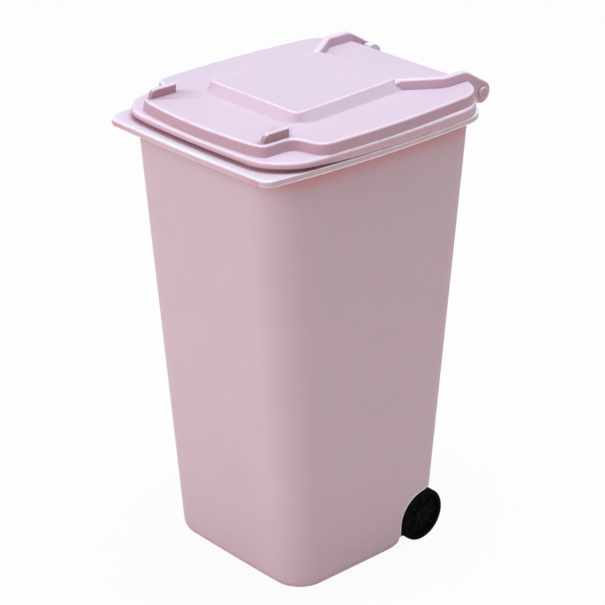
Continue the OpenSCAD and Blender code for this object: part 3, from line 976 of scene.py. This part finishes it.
def stepOutline(inset, values=lidValues):
    # A bowed nose, a notch at each front corner and long bowed sides
    noseX = values["noseWidth"] / 2
    r, notch, tilt = values["noseCorner"], values["notch"], math.radians(values["notchTilt"])
    side = lipWidth / 2 - values["ledge"] - values["stepBow"] + values["stepTaper"] / 4
    cornerY = stepFrontY + values["noseLean"]
    notchY = stepFrontY + values["notchBack"]
    run = side - noseX - 2 * notch * (1 - math.sin(tilt))
    shoulderY = notchY + 2 * notch * math.cos(tilt) + run * math.tan(tilt)
    rearX = side - values["stepTaper"]
    rearR = values["stepRearCorner"]
    noseXs = np.linspace(0.0, noseX - r, 12)[:-1]
    nose = np.c_[noseXs, stepFrontY + inset + values["noseLean"] * (noseXs / noseX) ** 2]
    shoulder = arcPoints(side - notch, shoulderY, notch - inset, values["notchTilt"] - 90, 0, 12)
    rear = arcPoints(rearX - rearR, lipRearY - values["ledge"] - rearR, rearR - inset, 0, 90, 16)
    t = np.linspace(0, 1, 18)[1:-1]
    flank = np.c_[side - inset + values["stepBow"] * np.sin(np.pi * t) - values["stepTaper"] * t ** 2,
                  shoulderY + (rear[0][1] - shoulderY) * t]
    half = np.vstack([
        nose,
        arcPoints(noseX - r, cornerY + r, r - inset, -80, 0, 6),
        arcPoints(noseX + notch, notchY, notch + inset, 180, 90 + values["notchTilt"], 12),
        shoulder,
        flank,
        rear,
        linePoints(rear[-1], (0, rear[-1][1]), 8)[1:],
    ])
    return wholeOutline(half)


def panelOutline(inset, values=lidValues):
    rise = min(1.0, max(0.0, inset / values["panelSlope"]))
    corner = values["panelFrontCorner"] + (values["panelTopCorner"] - values["panelFrontCorner"]) * rise
    return wholeOutline(roundedHalf(values["panelWidth"] / 2 - inset, panelFrontY + inset, panelRearY - inset,
                                    corner, max(1.5, values["panelRearCorner"] - inset), values["panelTaper"]))


rayCentre = np.array([0.0, -3.0])
rayValues = {"least": 120, "gap": 0.006}  # least number of rays, and the least angle between two


def outlineAngles(outline):
    offset = outline - rayCentre
    return np.unwrap(np.arctan2(offset[:, 1], offset[:, 0]))


def sampleByRays(outline, angles):
    # Where rays from the lid's middle meet an outline
    own = outlineAngles(outline)
    order = np.argsort(own)
    own, points = own[order], outline[order]
    own = np.concatenate([own - 2 * np.pi, own, own + 2 * np.pi])
    points = np.vstack([points] * 3)
    spots = np.clip(np.searchsorted(own, angles, side="right") - 1, 0, len(own) - 2)
    a, b = points[spots] - rayCentre, points[spots + 1] - rayCentre
    way = np.c_[np.cos(angles), np.sin(angles)]
    run = b - a
    reach = (a[:, 0] * run[:, 1] - a[:, 1] * run[:, 0]) / (way[:, 0] * run[:, 1] - way[:, 1] * run[:, 0])
    return rayCentre + way * reach[:, None]


def rayAngles():
    # Enough rays for every corner of the step and of the panel
    full = 2 * np.pi
    found = np.concatenate([
        outlineAngles(stepOutline(0.0)) % full,
        outlineAngles(panelOutline(lidValues["panelSlope"])) % full,
        outlineAngles(panelOutline(0.0)) % full,
        np.linspace(0, full, rayValues["least"], endpoint=False),
    ])
    found = np.sort(found)
    kept = [found[0]]
    for angle in found[1:]:
        if angle - kept[-1] > rayValues["gap"]:
            kept.append(angle)
    return np.array(kept)


lidRays = rayAngles()


def lidRing(outline, z):
    return atHeight(sampleByRays(outline, lidRays), z)


def lipOutlineReach(x, y):
    # How far a place lies inside the lip's edge
    angle = math.atan2(y - rayCentre[1], x - rayCentre[0])
    edge = sampleByRays(lipOutline(0.0), np.array([angle]))[0]
    return float(np.linalg.norm(edge - rayCentre) - math.hypot(x - rayCentre[0], y - rayCentre[1]))


def edgeOver(outlineOf, radius, z, steps=5):
    # Rings of a rounded top edge
    angles = np.radians(np.linspace(0, 90, steps + 1))
    return [lidRing(outlineOf(radius * (1 - math.cos(a))), z - radius * (1 - math.sin(a))) for a in angles]


def makeLidSkin(values):
    skin = values["skin"]
    outer = sampleByRays(lipOutline(0.0), lidRays)
    inner = sampleByRays(lipOutline(skin), lidRays)

    def lift(ring):
        # The skirt hangs lowest along the sides and clears the brim most at the front, for a finger
        back = ring[:, 1] - lipFrontY
        raised = values["fingerGap"] * np.clip(1 - back / values["fingerReach"], 0, 1)
        return skirtZ + raised - values["sideDrop"] * np.clip((back - 8) / 20, 0, 1)

    under = [
        lidRing(panelOutline(values["panelSlope"] + skin * 0.6 + values["hollowCap"]), panelZ - skin),
        lidRing(panelOutline(values["panelSlope"] + skin * 0.6), panelZ - skin),
        lidRing(panelOutline(skin * 0.6), stepZ - skin),
        lidRing(stepOutline(skin), stepZ - skin),
        lidRing(stepOutline(skin), lipZ - skin),
        lidRing(lipOutline(skin), lipZ - skin),
        atHeight(inner, lift(inner)),
        atHeight(outer, lift(outer)),
        atHeight(outer, lipZ - values["lipSide"]),
    ]
    made = filletRings(under, [0, 0.4, 0.6, 0.5, 0.3, 0.3, 0.15, 0.2, 0], 3)
    lipTop = edgeOver(lipOutline, values["lipRound"], lipZ)
    made += lipTop[:-1]
    stepFoot = lidRing(stepOutline(-values["stepDraft"]), lipZ)
    foot = [lipTop[-1], stepFoot, lidRing(stepOutline(0), stepZ - values["lipSide"])]
    made += filletRings(foot, [0, 0.25, 0], 3)[:-1]
    stepTop = edgeOver(stepOutline, values["stepRound"], stepZ)
    made += stepTop[:-1]
    rise = [
        stepTop[-1],
        lidRing(stepOutline(values["stepGuard"]), stepZ),
        lidRing(panelOutline(0), stepZ),
        lidRing(panelOutline(values["panelSlope"]), panelZ),
        lidRing(panelOutline(values["panelSlope"] + values["panelCap"]), panelZ),
    ]
    made += filletRings(rise, [0, 0, 1.1, 0.9, 0], 5)
    return ringMesh(made)


def barMesh(stations, edgeRound, steps=4):
    # A bar through stations, each with its top and bottom, half thickness and middle
    rings = []
    for top, bottom, half in stations:
        top, bottom = np.asarray(top, float), np.asarray(bottom, float)
        rise = top - bottom
        rise[0] = 0.0
        up = rise / np.linalg.norm(rise)
        out = np.array([1.0, 0.0, 0.0])
        r = min(edgeRound, half * 0.8, np.linalg.norm(top - bottom) * 0.35)
        ring = []
        places = (top, (1, -1), 0), (top, (-1, -1), 90), (bottom, (-1, 1), 180), (bottom, (1, 1), 270)
        for centre, signs, start in places:
            middle = centre + out * signs[0] * (half - r) + up * signs[1] * r
            swing = [math.radians(start + 90 * k / steps) for k in range(steps + 1)]
            corner = [middle + r * (math.cos(a) * out + math.sin(a) * up) for a in swing]
            guard = min(0.2, r * 0.3)
            first, last = swing[0] + math.pi / 2, swing[-1] + math.pi / 2
            ring.append(corner[0] - guard * (math.cos(first) * out + math.sin(first) * up))
            ring += corner
            ring.append(corner[-1] + guard * (math.cos(last) * out + math.sin(last) * up))
        rings.append(np.array(ring))
    return ringMesh(rings)


def makeArm(side, values, hinge):
    # A goose-neck arm: it leaves the panel's corner, spreads, runs back and bends down to the eye
    half = values["thickness"] / 2
    start = (values["startX"] - half, values["startY"])
    bend = (values["x"], values["bendY"])
    back = (values["x"], hinge["y"] + 8)
    plan = np.vstack([[start], roundedCorner(start, bend, back, values["bendRound"], 8), [back]])
    middleX = lambda y: float(np.interp(y, plan[:, 1], plan[:, 0]))
    eye, eyeY, eyeZ = hinge["eye"], hinge["y"], hinge["z"]
    drop, under = math.radians(values["drop"]), math.radians(values["under"])
    top = panelZ - values["sink"]
    eyeTop = (eyeY + eye * math.cos(drop), eyeZ + eye * math.sin(drop))
    peak = (eyeTop[0] - (top - eyeTop[1]) * math.tan(drop), top)
    low, root = stepZ - 0.7, values["rootY"]
    shape = np.vstack([
        [(root, low), (root, top - values["rootRise"]), (root + values["rootRamp"], top)],
        roundedCorner((root + values["rootRamp"], top), peak, eyeTop, values["peakRound"], 10),
        arcPoints(eyeY, eyeZ, eye, values["drop"], values["under"] - 180, 30),
        [(lipRearY - 0.6, lipZ - 1.0), (lipRearY - 1.2, lipZ - 1.0), (lipRearY - 1.2, low)],
    ])
    x = side * values["x"]
    arm = prismMesh(shape, x - half, x + half, values["edge"], 4)
    sides = [face for face in arm.faces if abs(face.normal.x) > 0.99 and len(face.verts) > 6]
    bmesh.ops.inset_individual(arm, faces=sides, thickness=values["sideInset"] * mm, use_even_offset=True)
    for y in np.arange(values["startY"] - 0.5, values["bendY"] + 3.5, values["slice"]):
        bmesh.ops.bisect_plane(arm, geom=arm.verts[:] + arm.edges[:] + arm.faces[:], dist=1e-7,
                               plane_co=(0, y * mm, 0), plane_no=(0, 1, 0))
    for vert in arm.verts:
        y = vert.co.y / mm
        slant = (middleX(y + 0.3) - middleX(y - 0.3)) / 0.6
        vert.co.x = (side * middleX(y) + (vert.co.x / mm - x) * math.hypot(1.0, slant)) * mm
    return arm


ribValues = {
    "thickness": 1.7,
    "length": 9.6,
    "height": 2.8,
    "back": 4.1,
    "inset": 1.2,
    "round": 2.2,
    "rearRound": 0.45,
    "edge": 0.55,
    # painted shade on the rib's sides
    "tint": 0.8,
}


def makeRib(side, values):
    # A blunt grip rib, round at its front and square behind
    x = side * (lidValues["noseWidth"] / 2 - values["inset"] - values["thickness"] / 2)
    y0 = stepFrontY + values["back"]
    y1 = y0 + values["length"]
    top = stepZ + values["height"]
    low = stepZ - 0.6
    half = values["thickness"] / 2
    r = values["round"]
    stations = []
    front = arcPoints(y0 + r, top - r, r, 180, 90, 10)
    for y, z in front:
        shrink = half * min(1.0, 0.62 + 0.38 * math.sqrt(min(1.0, (y - y0 + 0.03) / 0.7)))
        stations.append(((x, y, z), (x, y, low), shrink))
    rear = values["rearRound"]
    for y in np.linspace(y0 + r, y1 - rear, 6)[1:]:
        stations.append(((x, y, top), (x, y, low), half))
    for k in range(1, 5):
        a = math.radians(90 * k / 4)
        y, fall = y1 - rear + rear * math.sin(a), rear * (1 - math.cos(a))
        stations.append(((x, y, top - fall), (x, y, low), half - fall))
    return barMesh(stations, values["edge"])


def lidShade(x, y, z):
    # Painted shade on the skirt's lower edge at the front, the step's wall, the sides of the grip ribs and the hinge
    # eyes
    if z < skirtZ + 0.8:
        return unit((-y - 22) / 12) * unit((skirtZ + 0.7 - z) / 0.5)
    ribTop = stepZ + ribValues["height"]
    ribX = lidValues["noseWidth"] / 2 - ribValues["inset"] - ribValues["thickness"] / 2
    if stepZ < z < ribTop - 0.5 and y < -28 and abs(abs(x) - ribX) < ribValues["thickness"]:
        # the rib tint is painted shade on the rib's sides
        return ribValues["tint"]
    if lipZ + 0.1 < z < stepZ - 0.5 and y < lipRearY:
        return lidValues["stepShade"]
    if y > lipRearY + 1.5:
        return armValues["eyeShade"]
    return 0.0


def lidHighlights(x, y, z):
    # The grip ribs are rounder and get less painted highlight
    return 0.35 if z > stepZ + 0.1 and y < -28 and z < stepZ + ribValues["height"] - 0.3 else 1.0


lidParts = [makeLidSkin(lidValues)]
for side in (-1, 1):
    lidParts += [makeArm(side, armValues, hingeValues), makeRib(side, ribValues)]
finishPiece("lidSkin", joinMeshes(lidParts), lidPlastic, "lid", ("lid",),
            edge=lidHighlights, shade=lidShade)
print("lid made")


def tubHighlights(x, y, z):
    # The painted edge highlight is strongest along the brim's sides
    if y > rearY + 3:
        return 0.25
    if z < 100:
        return 0.7
    return 0.45 if y < frontY else 1.0


tubParts = [makeTub(), *(makeArchBead(side, wheelValues) for side in (-1, 1))]
tubParts += makeLugs(lugValues, hingeValues)
finishPiece("binSkin", joinMeshes(tubParts), tubPlastic, "bin", ("bin_body",),
            edge=tubHighlights, shade=lipGapShade)
print("tub made")

# Hinge pins with a low domed head

pinValues = {"headGap": 0.12, "headThickness": 0.9, "headEdge": 0.35, "tip": 0.3}


def makePin(side, values, hinge):
    gap = values["headGap"]
    shank = gap + armValues["thickness"] + lugValues["sideGap"] + lugValues["thickness"]
    pin, head, thick, edge = hinge["pin"], hinge["head"], values["headThickness"], values["headEdge"]
    tip = values["tip"]
    profile = [(-shank, 0.0), (-shank, pin - tip), (-shank + tip, pin), (0.0, pin)]
    profile += [(0.0, head - 0.05), (0.05, head)]
    for k in range(5):
        a = math.radians(90 * k / 4)
        profile.append((thick - edge + edge * math.sin(a) * 0.8, head - edge * (1 - math.cos(a))))
    profile += [(thick - edge * 0.2 - 0.02, head * 0.5), (thick - edge * 0.2, head * 0.3), (thick - edge * 0.1, 0.0)]
    x = armValues["x"] + armValues["thickness"] / 2 + gap
    return turnedMesh(profile, side * x, hinge["y"], hinge["z"], 48, side)


for side, node in ((-1, "hinge_pin_left"), (1, "hinge_pin_right")):
    # The pin heads get the same painted shade as the hinge eyes
    finishPiece(node + "Skin", makePin(side, pinValues, hingeValues), lidPlastic, "bin", (node,),
                shade=lambda x, y, z: armValues["eyeShade"])
print("hinge pins made")

# Wheels: a turned disc, with spokes that Geometry Nodes repeat round the hub

wheelDetail = {"rim": 1.5, "dish": 0.9, "hub": 3.0, "edge": 0.6, "spokeWidth": 1.2, "spokeRise": 0.45}


def makeSpokeTree():
    tree = bpy.data.node_groups.new("wheelSpokes", "GeometryNodeTree")
    for label, kind, value in (
        ("Spokes", "NodeSocketInt", 8),
        ("Hub Radius", "NodeSocketFloat", 0.003),
        ("Rim Radius", "NodeSocketFloat", 0.007),
        ("Spoke Width", "NodeSocketFloat", 0.001),
        ("Spoke Rise", "NodeSocketFloat", 0.0005),
        ("Place", "NodeSocketVector", (0.0, 0.0, 0.0)),
        ("Finish", "NodeSocketMaterial", None),
    ):
        socket = tree.interface.new_socket(label, in_out="INPUT", socket_type=kind)
        if value is not None:
            socket.default_value = value
    tree.interface.new_socket("Geometry", in_out="OUTPUT", socket_type="NodeSocketGeometry")
    given = tree.nodes.new("NodeGroupInput").outputs
    made = tree.nodes.new("NodeGroupOutput")

    def add(kind, *links):
        return addNode(tree, kind, links).outputs[0]

    def maths(operation, first, second):
        return mathNode(tree, operation, first, second)

    middle = maths("MULTIPLY", maths("ADD", given["Hub Radius"], given["Rim Radius"]), 0.5)
    reach = maths("MULTIPLY", maths("SUBTRACT", given["Rim Radius"], given["Hub Radius"]), 0.56)
    start = add("ShaderNodeCombineXYZ", ("X", maths("MULTIPLY", reach, -1.0)))
    end = add("ShaderNodeCombineXYZ", ("X", reach))
    line = add("GeometryNodeCurvePrimitiveLine", ("Start", start), ("End", end))
    line = add("GeometryNodeResampleCurve", ("Curve", line), ("Count", 6))
    circle = add("GeometryNodeCurvePrimitiveCircle", ("Resolution", 14), ("Radius", 1.0))
    halfWidth = maths("MULTIPLY", given["Spoke Width"], 0.5)
    size = add("ShaderNodeCombineXYZ", ("X", halfWidth), ("Y", given["Spoke Rise"]), ("Z", 1.0))
    profile = add("GeometryNodeTransform", ("Geometry", circle), ("Scale", size))
    spoke = add("GeometryNodeCurveToMesh", ("Curve", line), ("Profile Curve", profile), ("Fill Caps", True))
    ring = add("GeometryNodeMeshCircle", ("Vertices", given["Spokes"]), ("Radius", middle))
    turn = maths("DIVIDE", 2 * math.pi, given["Spokes"])
    rotation = add("ShaderNodeCombineXYZ", ("Z", maths("MULTIPLY", add("GeometryNodeInputIndex"), turn)))
    copies = add("GeometryNodeInstanceOnPoints", ("Points", ring), ("Instance", spoke), ("Rotation", rotation))
    standing = add("GeometryNodeTransform", ("Geometry", copies), ("Rotation", (0.0, math.pi / 2, 0.0)),
                   ("Translation", given["Place"]))
    real = add("GeometryNodeRealizeInstances", ("Geometry", standing))
    smooth = add("GeometryNodeSetShadeSmooth", ("Geometry", real))
    painted = add("GeometryNodeSetMaterial", ("Geometry", smooth), ("Material", given["Finish"]))
    tree.links.new(painted, made.inputs["Geometry"])
    return tree


spokeTree = makeSpokeTree()


def makeSpokes(side, values, detail):
    mesh = bpy.data.meshes.new("spokeStart")
    carrier = bpy.data.objects.new("spokeStart", mesh)
    scene.collection.objects.link(carrier)
    modifier = carrier.modifiers.new("spokes", "NODES")
    modifier.node_group = spokeTree
    settings = {
        "Spokes": values["spokes"],
        "Hub Radius": detail["hub"] * mm,
        "Rim Radius": (values["radius"] - detail["rim"]) * mm,
        "Spoke Width": detail["spokeWidth"] * mm,
        "Spoke Rise": detail["spokeRise"] * mm,
        "Place": (side * (values["outerX"] - detail["dish"]) * mm, values["y"] * mm, values["z"] * mm),
        "Finish": wheelPlastic,
    }
    for item in spokeTree.interface.items_tree:
        if item.in_out == "INPUT" and item.name in settings:
            modifier[item.identifier] = settings[item.name]
    graph = bpy.context.evaluated_depsgraph_get()
    result = bpy.data.meshes.new_from_object(carrier.evaluated_get(graph))
    work = bmesh.new()
    work.from_mesh(result)
    bmesh.ops.recalc_face_normals(work, faces=work.faces)
    bpy.data.meshes.remove(result)
    bpy.data.objects.remove(carrier)
    bpy.data.meshes.remove(mesh)
    return work


def makeDisc(side, values, detail):
    width, radius, edge = values["width"], values["radius"], detail["edge"]
    rim, dish, hub = detail["rim"], detail["dish"], detail["hub"]
    turns = np.radians(np.linspace(0, 90, 6))
    rounds = [(edge * (1 - math.cos(a)), radius - edge * (1 - math.sin(a))) for a in turns]
    profile = [(0.0, 0.0), (0.0, hub - 0.15), (0.0, hub), (dish, hub + 0.1), (dish, radius - rim - 0.1),
               (0.0, radius - rim)]
    profile += rounds + [(width - depth, reach) for depth, reach in rounds[::-1]]
    profile += [(width, radius - rim + 0.25), (width - 0.15, radius - rim + 0.05), (width - dish, radius - rim - 0.15),
                (width - dish, hub + 0.15), (width - 0.3, hub - 0.05), (width - 0.18, hub - 0.25),
                (width - 0.15, hub * 0.6), (width - 0.3, hub * 0.5), (width - 0.3, 0.0)]
    return turnedMesh(profile, side * (values["outerX"] - values["width"]), values["y"], values["z"], 96, side)


for side, node in ((-1, "wheel_left"), (1, "wheel_right")):
    parts = [makeDisc(side, wheelValues, wheelDetail), makeSpokes(side, wheelValues, wheelDetail)]
    finishPiece(node + "Skin", joinMeshes(parts), wheelPlastic, "wheelset", (node,))
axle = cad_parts["axle"]
if not axle.material_slots:
    axle.data.materials.append(axleSteel)
for spot in axle.material_slots:
    spot.material = axleSteel
print("wheels made")
